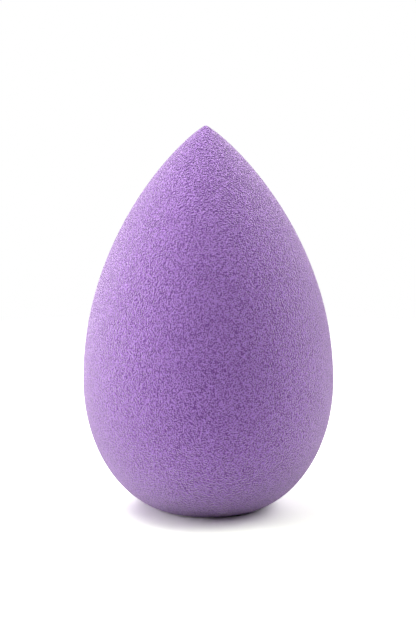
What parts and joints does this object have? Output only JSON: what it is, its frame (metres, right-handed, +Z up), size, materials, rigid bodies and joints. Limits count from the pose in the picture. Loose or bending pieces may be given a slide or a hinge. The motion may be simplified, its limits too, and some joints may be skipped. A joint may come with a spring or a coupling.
{
  "type": "makeup sponge",
  "caption": "Teardrop makeup sponge of soft open-cell foam: a point for small areas, a round belly for blending, and a small flat at the blunt end to stand on.",
  "frame": {"origin": "middle of the flat that the sponge stands on", "axes": "+Z up the sponge's axis to its point; the body is round, so +X and +Y are any two directions across it"},
  "size_m": [0.04, 0.04, 0.0616],
  "materials": {
    "foam": "matte"
  },
  "bodies": {
    "root": {"foam_body": "foam"}
  },
  "joints": []
}
